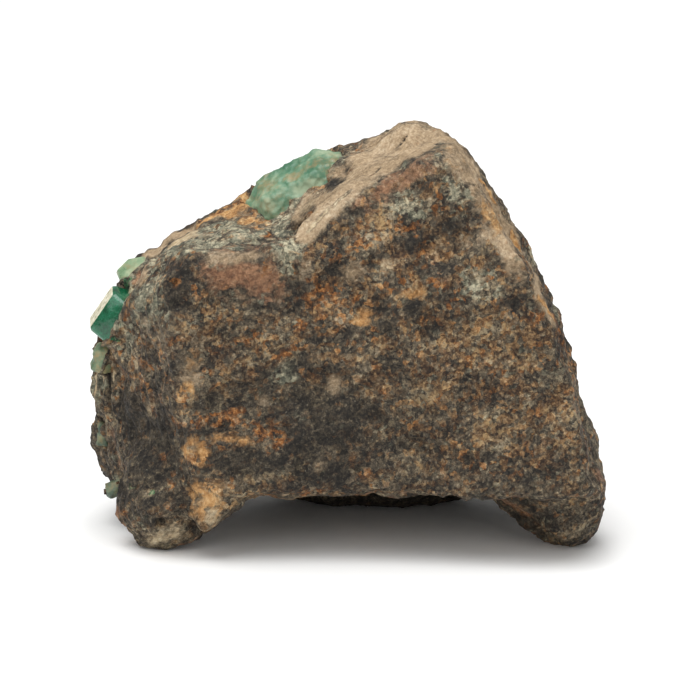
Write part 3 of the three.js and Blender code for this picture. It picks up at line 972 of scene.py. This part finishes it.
    def weather(self, surface: Surface, warp: np.ndarray) -> None:
        """Lays the broad colours: brown front, grey-green top, clouded back, darker towards the bottom of
        the front, and painted shade on the heel and low back under the stone.

        Args:
            surface: the stone before it is chipped.
            warp: unevenness of the edges between colours.
        """
        broad = surface.lumpy(self.broad_cloud)
        small = surface.lumpy(self.small_cloud) + warp * 0.2
        heights = surface.points[:, 2]
        front = surface.normals @ np.array(FRONT_SIDE)
        up = surface.normals[:, 2]
        lower = smoothstep(16.0, 6.0, heights + warp * 4.0)
        behind = smoothstep(0.1, -0.3, front)
        away = smoothstep(0.7, 0.2, front)
        # Painted shade on the heel and low back under the stone, where little light reaches.
        painted_underside_shade = smoothstep(-3.0, 2.0, surface.points[:, 1]) * smoothstep(5.5, 3.0, heights)
        # The ranges are cosines to a side, values of a cloud, or heights and depths in mm.
        for mineral, share in (
            (IRON_BROWN, smoothstep(0.45, 0.95, front + warp * 0.4) * (1.0 - 0.45 * lower)),
            # Darker towards the bottom of the front: partly dark rock, partly painted shade where less light
            # reaches the low front.
            (DARK, smoothstep(0.3, 0.8, front) * lower * 0.25),
            (IRON_BROWN, behind * smoothstep(-0.05, 0.25, broad + warp * 0.3) * 0.9),
            (TAN, behind * smoothstep(0.25, 0.5, broad * up + warp * 0.3) * 0.8),
            (GREY_GREEN, smoothstep(0.55, 0.8, up + warp * 0.3) * 0.8),
            (RED_BROWN, away * smoothstep(0.2, 0.45, small) * 0.6),
            (DARK, smoothstep(-0.15, -0.45, small) * (0.3 + 0.4 * away)),
            (RUST, away * smoothstep(0.25, 0.5, -broad) * 0.6),
            (DARK, painted_underside_shade * 0.7),
        ):
            self.cover(mineral, share)

    def stain(self, surface: Surface, tree: BVHTree) -> None:
        """Works out how much of each mineral shows at each vertex.

        Args:
            surface: the stone before it is chipped.
            tree: the stone as the front view sees it.
        """
        self.weights = {mineral: np.zeros(len(surface.points)) for mineral in Mineral}
        self.weights[SCHIST] += 1.0
        warp = surface.lumpy(self.stain_warp)
        self.weather(surface, warp)
        for patch in PATCHES:
            edge = self.oval(surface, tree, patch) + warp
            self.cover(patch.mineral, smoothstep(*PATCH_EDGE, edge) * patch.strength)
        for streak in STREAKS:
            gap = self.course_distance(surface, tree, streak)
            edge = gap / streak.half_width + warp * self.streak_warp
            self.cover(streak.mineral, smoothstep(*STREAK_EDGE, edge))

    def chip(self, surface: Surface, tree: BVHTree, layered: np.ndarray, bare: np.ndarray) -> None:
        """Moves the vertices along their normals into chips, layers, grain, cracks and pits.

        Args:
            surface: the stone.
            tree: the stone as the front view sees it.
            layered: how plainly the layers of mica show, 0 to 1.
            bare: how far the stone draws back from the crystals, in mm.
        """
        points = surface.points
        slab = np.clip(self.weights[TAN] + self.weights[CREAM], 0.0, 1.0)
        rough = 1.0 - self.worn_calm * self.weights[RED_BROWN] - self.slab_calm * slab
        height = surface.lumpy(self.swells)
        height += surface.chipped(self.chips) * rough
        height += surface.chipped(self.small_chips) * rough
        height += surface.chipped(self.crumbs) * rough * rough
        height += surface.lumpy(self.lumps) * rough
        height += surface.lumpy(self.grain)
        phase = (points @ np.array(ACROSS_LAYERS)) / self.layer_spacing + surface.lumpy(self.layer_waver)
        saw = phase - np.floor(phase)
        height += (saw - 0.5) * self.layer_height * layered
        for swell in SWELLS:
            height += swell.height * smoothstep(*SWELL_EDGE, self.oval(surface, tree, swell))
        for streak in STREAKS:
            if streak.depth:
                gap = self.course_distance(surface, tree, streak)
                height -= streak.depth * smoothstep(CRACK_REACH * streak.half_width, 0.0, gap)
        for pit in PITS:
            gap = np.linalg.norm(points - np.array(front_point(tree, pit.place)), axis=1)
            height -= pit.depth * smoothstep(pit.radius * PIT_REACH, PIT_FLOOR_MM, gap)
        height -= bare
        free = smoothstep(0.0, self.floor_band, points[:, 2])
        surface.points = points + surface.normals * (height * free)[:, None]
        surface.points[:, 2] = np.maximum(surface.points[:, 2], 0.0)

    def dress(self, piece: bpy.types.Object) -> None:
        """Gives the stone its mica schist material.

        Args:
            piece: the stone.
        """
        piece.data.materials.append(SchistFinish().material())


# A noise texture's middle value and spread, and how its bell curve's shares are estimated from them.
NOISE_MIDDLE = 0.5
NOISE_SPREAD = 0.135
LOGISTIC_WIDTH = 1.7
LEAST_SHARE = 0.004
# Noise values at which a finish shows each of its shades, from dark to pale.
STONE_STOPS = (0.385, 0.45, 0.5, 0.55, 0.62)
CRYSTAL_STOPS = (0.38, 0.5, 0.62)
# How ragged the edges of the minerals are, and the shift between the noises of two of them.
RAGGED = {"Detail": 7.0, "Roughness": 0.74, "Distortion": 0.4}
NOISE_APART = 7.3
# Settings of maths and mix nodes, and the sockets of a mix node.
TIMES = {"operation": "MULTIPLY"}
PLUS = {"operation": "ADD"}
TIMES_PLUS = {"operation": "MULTIPLY_ADD"}
COLOURS = {"data_type": "RGBA"}
FACTOR, FLOAT_A, FLOAT_B, COLOUR_A, COLOUR_B = 0, 2, 3, 6, 7
COLOUR_OUT = 2

Socket = bpy.types.NodeSocket
NodeAdder = Callable[..., bpy.types.Node]


def threshold(share: float) -> float:
    """Noise value above which a given share of the stone lies.

    Args:
        share: 0 to 1.

    Returns:
        The value.
    """
    share = min(max(share, LEAST_SHARE), 1.0 - LEAST_SHARE)
    return NOISE_MIDDLE - NOISE_SPREAD * math.log(share / (1.0 - share)) / LOGISTIC_WIDTH


def shade_stops(positions: tuple[float, ...], shades: tuple[str, ...]) -> list[tuple[float, Colour]]:
    """Stops of a colour ramp from hex colours."""
    return [(position, linear(shade)) for position, shade in zip(positions, shades)]


@dataclass(frozen=True)
class SchistFinish:
    """Weathered mica schist: matt and grainy, its minerals smeared along the layers. Sizes in mm.

    The eye gets a rough broken stone with pinpoint glints, partly from glossy flecks and partly painted in
    as pale flecks.
    The layers rise to the right by lean degrees on the front and stand upright on the left side. A share is
    how far something shifts the shade or the edge of a stain, and calm is what is left of the grain where
    the stone is even.
    """

    grain: float = 0.3
    layer: float = 0.3
    layer_share: float = 0.3
    layer_stretch: tuple[float, float, float] = (4.0, 1.0, 1.0)
    upright: float = 90.0
    blotch: float = 3.0
    blotch_share: float = 0.4
    fleck: float = 0.26
    fleck_cluster: float = 3.0
    fine_bump: float = 0.22
    distortion: float = 0.3
    bump_strength: float = 0.8
    bump_depth: float = 0.15
    soft_edge: float = 0.09
    even_soft_edge: float = 0.2
    even_contrast: float = 0.55
    calm: float = 0.2
    crystal_grain: float = 0.48
    crystal_share: float = 0.28
    sand_grain: float = 0.32
    sand_share: float = 0.14
    grain_warp: float = 0.5
    lean: float = 27.0
    lean_stretch: tuple[float, float, float] = (1.9, 1.0, 1.0)
    roughness: tuple[float, float] = (0.75, 0.38)
    ior: float = 1.55
    specular: float = 0.28
    # Pale flecks: pale grains and painted glints of mica flakes. Black flecks: black grains and painted
    # shade in tiny pits.
    pale_grain_and_glint: str = "#b8ac93"
    black_grain_and_pit_shade: str = "#14110f"

    def material(self) -> bpy.types.Material:
        """Builds the material.

        Returns:
            The material.
        """
        material, tree = new_material("weathered_mica_schist")
        node = partial(add_node, tree)
        place = node("TexCoord").outputs["Object"]
        leaning, upright = (
            node(
                "Mapping",
                {"Vector": place, "Rotation": (0.0, -math.radians(lean), 0.0), "Scale": stretch},
                {"vector_type": "TEXTURE"},
            ).outputs["Vector"]
            for lean, stretch in ((self.lean, self.lean_stretch), (self.upright, self.layer_stretch))
        )
        grain, layers, blotch, fleck, cluster, fine = (
            node(
                "TexNoise",
                {"Vector": where, "Scale": per_metre(size), "Detail": detail, "Roughness": rough}
                | {"Distortion": self.distortion},
            ).outputs["Fac"]
            for where, size, detail, rough in (
                (place, self.grain, 5.0, 0.75),
                (upright, self.layer, 4.0, 0.7),
                (leaning, self.blotch, 5.0, 0.65),
                (place, self.fleck, 2.0, 0.6),
                (leaning, self.fleck_cluster, 3.0, 0.6),
                (place, self.fine_bump, 4.0, 0.65),
            )
        )
        layered, even = (self.attribute(node, name) for name in (LAYERED, EVEN))
        calm = node("MapRange", {"Value": even, "To Min": 1.0, "To Max": self.calm}).outputs["Result"]
        warp = node("TexNoise", {"Vector": place, "Scale": per_metre(self.grain_warp), "Detail": 2.0})
        bent = node(
            "VectorMath",
            {0: warp.outputs["Color"], 1: (self.grain_warp * MM,) * 3, 2: place},
            TIMES_PLUS,
        ).outputs["Vector"]
        crystals = self.grains(node, bent, calm, self.crystal_grain, self.crystal_share, 3)
        (sand,) = self.grains(node, bent, calm, self.sand_grain, self.sand_share, 1)
        layer_share = node("Math", {0: layered, 1: self.layer_share}, TIMES).outputs[0]
        streaked = node("Mix", {FACTOR: layer_share, FLOAT_A: grain, FLOAT_B: layers}).outputs[0]
        mottle = node("Mix", {FACTOR: self.blotch_share, FLOAT_A: streaked, FLOAT_B: blotch}).outputs[0]
        sandy = node("Math", {0: mottle, 1: sand}, PLUS).outputs[0]
        flat = node("Math", {0: even, 1: 1.0 - self.even_contrast}, TIMES).outputs[0]
        shade = node("Mix", {FACTOR: flat, FLOAT_A: sandy, FLOAT_B: NOISE_MIDDLE}).outputs[0]
        stained = self.stains(node, leaning, shade, crystals)
        flecked = self.flecks(node, stained, fleck, cluster, calm)
        matt, glint = self.roughness
        gloss = node(
            "MapRange",
            {"Value": fleck, "From Min": 0.55, "From Max": 0.75, "To Min": matt, "To Max": glint},
        ).outputs["Result"]
        bump = node(
            "Bump",
            {"Strength": self.bump_strength, "Distance": self.bump_depth * MM, "Height": fine},
        ).outputs["Normal"]
        shader = node(
            "BsdfPrincipled",
            {
                "Base Color": flecked,
                "Roughness": gloss,
                "IOR": self.ior,
                "Specular IOR Level": self.specular,
                "Normal": bump,
            },
        ).outputs["BSDF"]
        node("OutputMaterial", {"Surface": shader})
        return material

    @staticmethod
    def attribute(node: NodeAdder, name: str) -> Socket:
        """Value of a vertex attribute.

        Args:
            node: adds a node to the material.
            name: name of the attribute.

        Returns:
            The value.
        """
        settings = {"attribute_type": "GEOMETRY", "attribute_name": name}
        return node("Attribute", settings=settings).outputs["Fac"]

    @staticmethod
    def grains(
        node: NodeAdder, bent: Socket, calm: Socket, size: float, most: float, count: int
    ) -> list[Socket]:
        """Values that differ from grain to grain.

        Args:
            node: adds a node to the material.
            bent: places, bent so that the grains are ragged.
            calm: what is left of the values where the stone is even.
            size: size of the grains.
            most: the range of the values, round 0.
            count: how many values each grain has, up to three.

        Returns:
            The values.
        """
        cells = node("TexVoronoi", {"Vector": bent, "Scale": per_metre(size)}).outputs["Color"]
        lots = list(node("SeparateColor", {"Color": cells}).outputs)[:count]
        values = []
        for lot in lots:
            push = node("MapRange", {"Value": lot, "To Min": -most / 2.0, "To Max": most / 2.0})
            values.append(node("Math", {0: push.outputs["Result"], 1: calm}, TIMES).outputs[0])
        return values

    def stains(self, node: NodeAdder, leaning: Socket, shade: Socket, grains: list[Socket]) -> Socket:
        """Lays the minerals over one another, each ragged and grainy at its edges.

        Args:
            node: adds a node to the material.
            leaning: places, smeared along the layers.
            shade: which of its shades each mineral shows.
            grains: values of the grains that make the edges ragged.

        Returns:
            The colour.
        """
        colour = None
        for number, (mineral, tone) in enumerate(TONES.items()):
            stops = shade_stops(STONE_STOPS, tone.shades)
            shades = node("ValToRGB", {"Fac": shade}, ramp=stops).outputs["Color"]
            if colour is None:
                colour = shades
                continue
            spread = node(
                "TexNoise",
                {"Vector": leaning, "W": NOISE_APART * number, "Scale": per_metre(tone.blotch)} | RAGGED,
                {"noise_dimensions": "4D"},
            ).outputs["Fac"]
            grainy = node("Math", {0: spread, 1: grains[number % len(grains)]}, PLUS).outputs[0]
            low, high = threshold(tone.full), threshold(tone.scattered)
            share = self.attribute(node, mineral.value)
            ragged = node("Math", {0: share, 1: high - low, 2: grainy}, TIMES_PLUS).outputs[0]
            edge = self.even_soft_edge if tone.even else self.soft_edge
            mask = node(
                "MapRange",
                {"Value": ragged, "From Min": high - edge, "From Max": high + edge},
                {"interpolation_type": "SMOOTHSTEP"},
            ).outputs["Result"]
            mixed = node("Mix", {FACTOR: mask, COLOUR_A: colour, COLOUR_B: shades}, COLOURS)
            colour = mixed.outputs[COLOUR_OUT]
        return colour

    def flecks(
        self, node: NodeAdder, colour: Socket, fleck: Socket, cluster: Socket, calm: Socket
    ) -> Socket:
        """Scatters pale and black flecks in clusters: pale grains with painted glints of mica, and black
        grains with painted shade in tiny pits.

        Args:
            node: adds a node to the material.
            colour: the stained stone.
            fleck: noise of the flecks.
            cluster: noise of the clusters.
            calm: what is left of the flecks where the stone is even.

        Returns:
            The colour.
        """
        clustered = node(
            "MapRange",
            {"Value": cluster, "From Min": 0.4, "From Max": 0.65, "To Min": 0.25, "To Max": 1.0},
        ).outputs["Result"]
        spacing = node("Math", {0: clustered, 1: calm}, TIMES).outputs[0]
        for start, full, cover, tint in (
            (0.63, 0.78, 0.6, self.pale_grain_and_glint),
            (0.38, 0.26, 0.8, self.black_grain_and_pit_shade),
        ):
            spots = node("MapRange", {"Value": fleck, "From Min": start, "From Max": full, "To Max": cover})
            scattered = node("Math", {0: spots.outputs["Result"], 1: spacing}, TIMES).outputs[0]
            mixed = node("Mix", {FACTOR: scattered, COLOUR_A: colour, COLOUR_B: linear(tint)}, COLOURS)
            colour = mixed.outputs[COLOUR_OUT]
        return colour


@dataclass(frozen=True)
class BerylFinish:
    """Beryl: glassy, six-sided, see-through green where clear and milky where flawed. Sizes in mm.

    The eye gets depth from transmission and absorption, cloudy veils from the shades, a gloss that changes
    with the veils from the two roughness values, and ochre stains in the flaws.
    """

    name: str
    slot: str
    shades: tuple[str, str, str]
    transmission: float
    roughness: tuple[float, float]
    absorption: str
    density: float
    veil: float = 1.4
    veil_roughness: float = 0.68
    stain: str = "#a3895a"
    stain_cover: float = 0.0
    stain_size: float = 1.5
    flaw_bump: float = 0.5
    flaw_strength: float = 0.5
    flaw_depth: float = 0.05
    ior: float = 1.58

    def material(self) -> bpy.types.Material:
        """Builds the material.

        Returns:
            The material.
        """
        material, tree = new_material(self.name)
        node = partial(add_node, tree)
        place = node("TexCoord").outputs["Object"]
        veil, ochre, flaw = (
            node(
                "TexNoise",
                {"Vector": place, "Scale": per_metre(size), "Detail": detail, "Roughness": roughness},
            ).outputs["Fac"]
            for size, detail, roughness in (
                (self.veil, 7.0, self.veil_roughness),
                (self.stain_size, 6.0, 0.7),
                (self.flaw_bump, 3.0, 0.5),
            )
        )
        shades = node("ValToRGB", {"Fac": veil}, ramp=shade_stops(CRYSTAL_STOPS, self.shades))
        stained = node(
            "MapRange",
            {"Value": ochre, "From Min": 0.5, "From Max": 0.66, "To Max": self.stain_cover},
        ).outputs["Result"]
        colour = node(
            "Mix",
            {FACTOR: stained, COLOUR_A: shades.outputs["Color"], COLOUR_B: linear(self.stain)},
            COLOURS,
        ).outputs[COLOUR_OUT]
        clear, cloudy = self.roughness
        gloss = node(
            "MapRange",
            {"Value": veil, "From Min": 0.35, "From Max": 0.65, "To Min": clear, "To Max": cloudy},
        ).outputs["Result"]
        bump = node(
            "Bump",
            {"Strength": self.flaw_strength, "Distance": self.flaw_depth * MM, "Height": flaw},
        ).outputs["Normal"]
        shader = node(
            "BsdfPrincipled",
            {
                "Base Color": colour,
                "Roughness": gloss,
                "IOR": self.ior,
                "Transmission Weight": self.transmission,
                "Normal": bump,
            },
        ).outputs["BSDF"]
        absorb = node("VolumeAbsorption", {"Color": linear(self.absorption), "Density": self.density})
        node("OutputMaterial", {"Surface": shader, "Volume": absorb.outputs["Volume"]})
        return material


@dataclass(frozen=True)
class CrustFinish:
    """Feldspar and talc grown on a crystal face: cream, matt and powdery. Sizes in mm."""

    shades: tuple[str, str, str] = ("#97937a", "#c3bda3", "#e2ddca")
    grain: float = 0.5
    roughness: float = 0.7
    bump_strength: float = 0.8
    bump_depth: float = 0.1

    def material(self) -> bpy.types.Material:
        """Builds the material.

        Returns:
            The material.
        """
        material, tree = new_material("powdery_feldspar_crust")
        node = partial(add_node, tree)
        place = node("TexCoord").outputs["Object"]
        grain = node(
            "TexNoise",
            {"Vector": place, "Scale": per_metre(self.grain), "Detail": 5.0, "Roughness": 0.7},
        ).outputs["Fac"]
        stops = shade_stops(CRYSTAL_STOPS, self.shades)
        shades = node("ValToRGB", {"Fac": grain}, ramp=stops).outputs["Color"]
        bump = node(
            "Bump",
            {"Strength": self.bump_strength, "Distance": self.bump_depth * MM, "Height": grain},
        ).outputs["Normal"]
        shader = node("BsdfPrincipled", {"Base Color": shades, "Roughness": self.roughness, "Normal": bump})
        node("OutputMaterial", {"Surface": shader.outputs["BSDF"]})
        return material


# The dark green prism: glossy and clear, with a deep green inside.
EMERALD = BerylFinish(
    "clear_emerald",
    "emerald",
    ("#0d5f3c", "#167a51", "#379971"),
    0.5,
    (0.06, 0.16),
    "#1fa068",
    220.0,
)
# The top crystal: satin sea-green with broad white veils and ochre stains.
CLOUDY_EMERALD = BerylFinish(
    "cloudy_emerald_glass",
    "cloudy_emerald",
    ("#3f7556", "#648e6d", "#a0b390"),
    0.25,
    (0.35, 0.6),
    "#7cc79a",
    90.0,
    veil=2.4,
    veil_roughness=0.62,
    stain_cover=0.75,
    stain_size=2.2,
)
# The small prism under the dark one: dull, milky and mostly stained.
MILKY_EMERALD = BerylFinish(
    "milky_emerald_glass",
    "cloudy_emerald",
    ("#4f6a4c", "#758766", "#a6a47c"),
    0.15,
    (0.4, 0.65),
    "#b4d0a4",
    60.0,
    stain_cover=0.8,
    stain_size=0.8,
)
# The prism at the upper left: pale green, half glossy.
LIGHT_EMERALD = BerylFinish(
    "light_emerald_glass",
    "cloudy_emerald",
    ("#77966f", "#96ae88", "#b4c19a"),
    0.25,
    (0.25, 0.45),
    "#9fd8b4",
    60.0,
    stain_cover=0.6,
    stain_size=0.9,
)
# The two low prisms: grey-green, dull and weathered.
PALE_BERYL = BerylFinish(
    "pale_beryl_glass",
    "pale_beryl",
    ("#2f4336", "#4d624c", "#7f8465"),
    0.15,
    (0.4, 0.65),
    "#b4d0a4",
    60.0,
    stain_cover=0.6,
    stain_size=0.8,
)

# How far inside a filled socket the stone starts to draw back, and over what width it does.
LIP_START_MM = 0.2
LIP_WIDTH_MM = 0.4
# How far round a crystal's box its stone is worked, and how far past the filling of its socket.
NEAR_MM = 1.0
PAST_PLUG_MM = 0.25
# Size of the bays in the stone's edge round a crystal, and the largest step of a crystal's chips.
RAGGED_SIZE_MM = 1.8
CHIP_STEP = 0.08
# A face is crusted if its normal is this close to the crusted side: the cosine of about 35 degrees.
CRUST_FACING = 0.82
Line = tuple[Place, Place]


class Wear(Enum):
    """How a crystal's surface has come down to us."""

    SHARP = "flat faces, keen edges"
    WORN = "rounded and etched"


@dataclass
class Crystal:
    """One beryl prism in its socket, with the stone creeping over its edges. Sizes in mm.

    sink moves it deeper into the stone, creep is how raggedly the stone covers its edges and clear_depth
    how far the stone draws back under it. plug_growth is how far the filling of its socket stands proud of
    it, to join the stone all round. It shows on the left of each of the limits, lines in the front view
    from their first point to their second. A crust covers the face on its crusted side.
    """

    node: str
    finish: BerylFinish
    wear: Wear
    sink: tuple[float, float, float] = (0.0, 0.0, 0.0)
    edge: float = 0.09
    voxel: float = 0.12
    wear_size: float = 1.2
    wear_height: float = 0.06
    creep: float = 0.4
    clear_depth: float = 1.1
    plug_growth: float = 0.4
    chip_size: float = 1.1
    chip_tilt: float = 0.0
    rounding: int = 0
    limits: tuple[Line, ...] = ()
    crusted_side: tuple[float, float, float] | None = None
    seed: int = 1

    def beside(self, points: np.ndarray, reach: float) -> np.ndarray:
        """Which points lie in the crystal's box or close to it.

        Args:
            points: places in mm.
            reach: how far round the box counts.

        Returns:
            True or false for each point.
        """
        low, high = (np.array(corner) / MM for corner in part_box(self.node))
        return np.all((points > low - reach) & (points < high + reach), axis=1)

    def fill_socket(self, shape: bmesh.types.BMesh, frame: dict[str, Any]) -> None:
        """Fills the crystal's socket, so that the stone can creep over its edges.

        Args:
            shape: the stone, in metres.
        """
        plug = merged_copy(frame["nodes"][self.node])
        plug.normal_update()
        for vertex in plug.verts:
            vertex.co += vertex.normal * self.plug_growth * MM
        mesh = bpy.data.meshes.new("plug")
        plug.to_mesh(mesh)
        plug.free()
        shape.from_mesh(mesh)
        bpy.data.meshes.remove(mesh)

    def uncover(self, surface: Surface, stone: BVHTree, frame: dict[str, Any]) -> np.ndarray:
        """How far the stone draws back to show the crystal.

        Args:
            surface: the stone with its sockets filled.
            stone: the stone's solid, with its sockets, in metres.

        Returns:
            A depth in mm for each vertex.
        """
        prism = merged_copy(frame["nodes"][self.node])
        tree = BVHTree.FromBMesh(prism)
        prism.free()
        near = self.beside(surface.points, NEAR_MM)
        ragged = surface.lumpy(Lumps(RAGGED_SIZE_MM, self.creep, 3, self.seed + 0.5), near)
        points = surface.points[near]
        from_stone, from_prism = (
            np.array([solid.find_nearest(Vector(p) * MM)[3] / MM for p in points])
            for solid in (stone, tree)
        )
        share = np.clip((from_stone + ragged - LIP_START_MM) / LIP_WIDTH_MM, 0.0, 1.0)
        share[from_prism > self.plug_growth + PAST_PLUG_MM] = 0.0
        across, upward = (
            (points - np.array(VIEW_TARGET_MM)) @ np.array(axis) for axis in (VIEW_RIGHT, VIEW_UP)
        )
        for start, end in self.limits:
            span = Vector(end) - Vector(start)
            left = (span.x * (upward - start[1]) - span.y * (across - start[0])) / span.length
            share *= np.clip((left + ragged * 0.5) / LIP_WIDTH_MM + 0.5, 0.0, 1.0)
        depth = np.zeros(len(surface.points))
        depth[near] = share * self.clear_depth
        return depth

    def build(self, frame: dict[str, Any]) -> bpy.types.Object:
        """Makes the crystal.


        Returns:
            The crystal.
        """
        shape = merged_copy(frame["nodes"][self.node])
        if self.wear is Wear.SHARP:
            bmesh.ops.dissolve_limit(
                shape, angle_limit=math.radians(1.0), verts=shape.verts, edges=shape.edges
            )
            bmesh.ops.bevel(
                shape,
                geom=shape.edges,
                offset=self.edge * MM,
                affect="EDGES",
                segments=2,
                profile=0.5,
                material=-1,
            )
        piece = finished_piece(shape, f"{self.node}_crystal")
        if self.wear is Wear.WORN:
            remeshed(piece, self.voxel)
            smoothed(piece.data, range(len(piece.data.vertices)), self.rounding)
        surface = Surface(piece.data)
        shift = np.array(self.sink)
        if self.wear is Wear.WORN:
            height = surface.lumpy(Lumps(self.wear_size, self.wear_height, 3, float(self.seed)))
            height += surface.chipped(Chips(self.chip_size, self.chip_tilt, CHIP_STEP, float(self.seed)))
            shift = surface.normals * height[:, None] + shift
        surface.points += shift
        surface.write()
        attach(piece, BODY)
        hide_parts(self.node)
        return piece

    def dress(self, piece: bpy.types.Object, materials: dict[str, bpy.types.Material]) -> None:
        """Gives the crystal its beryl material.

        Args:
            piece: the crystal.
            materials: the beryl materials made so far, by name.
        """
        if self.finish.name not in materials:
            materials[self.finish.name] = self.finish.material()
        piece.data.materials.append(materials[self.finish.name])
        if self.crusted_side:
            piece.data.materials.append(CrustFinish().material())
            for polygon in piece.data.polygons:
                polygon.material_index = int(polygon.normal.dot(self.crusted_side) > CRUST_FACING)


CRYSTALS: tuple[Crystal, ...] = (
    Crystal(
        "left_prism",
        EMERALD,
        Wear.SHARP,
        creep=0.3,
        clear_depth=1.5,
        limits=(((-22.1, 0.9), (-20.1, 4.6)),),
        crusted_side=(-0.83, -0.13, 0.54),
        seed=3,
    ),
    Crystal(
        "left_lower_prism",
        MILKY_EMERALD,
        Wear.WORN,
        creep=0.6,
        wear_height=0.12,
        chip_tilt=0.4,
        rounding=6,
        plug_growth=0.3,
        limits=(((-22.8, -2.0), (-21.8, 0.9)),),
        seed=5,
    ),
    Crystal(
        "upper_left_prism",
        LIGHT_EMERALD,
        Wear.SHARP,
        (0.1, 0.0, -0.1),
        creep=0.4,
        limits=(((-21.0, 5.5), (-18.4, 8.5)),),
        seed=7,
    ),
    Crystal(
        "top_emerald",
        CLOUDY_EMERALD,
        Wear.WORN,
        (0.1, 0.07, -0.16),
        wear_size=2.4,
        wear_height=0.15,
        chip_size=0.7,
        chip_tilt=0.45,
        rounding=12,
        creep=0.6,
        clear_depth=2.0,
        plug_growth=0.34,
        seed=9,
    ),
    Crystal(
        "left_edge_prism",
        PALE_BERYL,
        Wear.WORN,
        (0.3, 0.0, 0.0),
        wear_height=0.16,
        chip_tilt=0.5,
        rounding=8,
        creep=0.8,
        limits=(((-22.6, -8.4), (-22.6, -6.6)),),
        seed=11,
    ),
    Crystal(
        "lower_left_prism",
        PALE_BERYL,
        Wear.WORN,
        (0.25, 0.0, 0.1),
        wear_height=0.16,
        chip_tilt=0.5,
        rounding=6,
        creep=0.7,
        limits=(((-21.2, -13.7), (-21.6, -11.5)),),
        seed=13,
    ),
)


@dataclass(frozen=True)
class Softbox:
    """A square studio light: place in mm, side in mm, power in watts."""

    name: str
    place: tuple[float, float, float]
    side: float
    power: float


@dataclass
class Studio:
    """Plain pale floor of matt white card, soft lights and the front camera. Sizes in mm.

    The card gives the eye a bright ground without a gloss, on which only the stone's shadow shows.
    """

    floor_side: float = 4000.0
    floor_shade: str = "#fafaf9"
    floor_roughness: float = 0.7
    world_shade: str = "#ffffff"
    world_strength: float = 0.36
    softboxes: tuple[Softbox, ...] = (
        Softbox("overhead", (-80.0, -60.0, 620.0), 640.0, 5.1),
        Softbox("front_left", (-330.0, -380.0, 260.0), 320.0, 0.45),
        Softbox("front_right", (320.0, -400.0, 240.0), 320.0, 0.42),
    )

    def build(self) -> None:
        """Makes the floor, the lights, the sky and the camera."""
        self.lay_floor()
        self.light()
        self.aim_camera()
        scene = bpy.context.scene
        scene.view_settings.view_transform = "Standard"
        scene.view_settings.look = "None"

    def lay_floor(self) -> None:
        """Lays the floor."""
        shape = bmesh.new()
        bmesh.ops.create_grid(shape, x_segments=2, y_segments=2, size=self.floor_side * MM / 2.0)
        mesh = bpy.data.meshes.new("pale_floor")
        shape.to_mesh(mesh)
        shape.free()
        floor = bpy.data.objects.new("pale_floor", mesh)
        bpy.context.scene.collection.objects.link(floor)
        material, tree = new_material("matt_white_card")
        card = {"Base Color": linear(self.floor_shade), "Roughness": self.floor_roughness}
        shader = add_node(tree, "BsdfPrincipled", card)
        add_node(tree, "OutputMaterial", {"Surface": shader.outputs["BSDF"]})
        mesh.materials.append(material)

    def light(self) -> None:
        """Hangs the soft lights and lights the sky."""
        for box in self.softboxes:
            lamp = bpy.data.lights.new(box.name, "AREA")
            lamp.shape = "SQUARE"
            lamp.size = box.side * MM
            lamp.energy = box.power
            holder = bpy.data.objects.new(box.name, lamp)
            holder.location = Vector(box.place) * MM
            aim = VIEW_TARGET_MM * MM - holder.location
            holder.rotation_euler = aim.to_track_quat("-Z", "Y").to_euler()
            bpy.context.scene.collection.objects.link(holder)
        world = bpy.data.worlds.new("studio")
        world.use_nodes = True
        tree = world.node_tree
        tree.nodes.clear()
        glow = {"Color": linear(self.world_shade), "Strength": self.world_strength}
        sky = add_node(tree, "Background", glow)
        add_node(tree, "OutputWorld", {"Surface": sky.outputs["Background"]})
        bpy.context.scene.world = world

    def aim_camera(self) -> None:
        """Puts the camera at the front view's angle."""
        lens = bpy.data.cameras.new("front")
        lens.sensor_width = SENSOR_WIDTH_MM
        lens.lens = SENSOR_WIDTH_MM * VIEW_DISTANCE_MM / VIEW_WIDTH_MM
        lens.clip_start = CLIP_START_M
        camera = bpy.data.objects.new("front", lens)
        camera.location = VIEW_EYE_MM * MM
        camera.rotation_euler = (math.pi / 2.0 - VIEW_ELEVATION, 0.0, 0.0)
        bpy.context.scene.collection.objects.link(camera)
        bpy.context.scene.camera = camera


def main() -> None:
    """Builds and dresses the stone, its crystals and the studio."""
    logging.basicConfig(level=logging.INFO, format="%(name)s: %(message)s")
    for item in list(bpy.data.objects):
        bpy.data.objects.remove(item)
    noise.seed_set(CHIP_SEED)
    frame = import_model()
    Studio().build()
    stone = Stone()
    piece = stone.build(frame, CRYSTALS)
    stone.dress(piece)
    LOG.info("%s: %d faces", piece.name, len(piece.data.polygons))
    materials: dict[str, bpy.types.Material] = {}
    for crystal in CRYSTALS:
        grown = crystal.build(frame)
        crystal.dress(grown, materials)
        LOG.info("%s: %d faces", grown.name, len(grown.data.polygons))


if __name__ == "__main__":
    main()
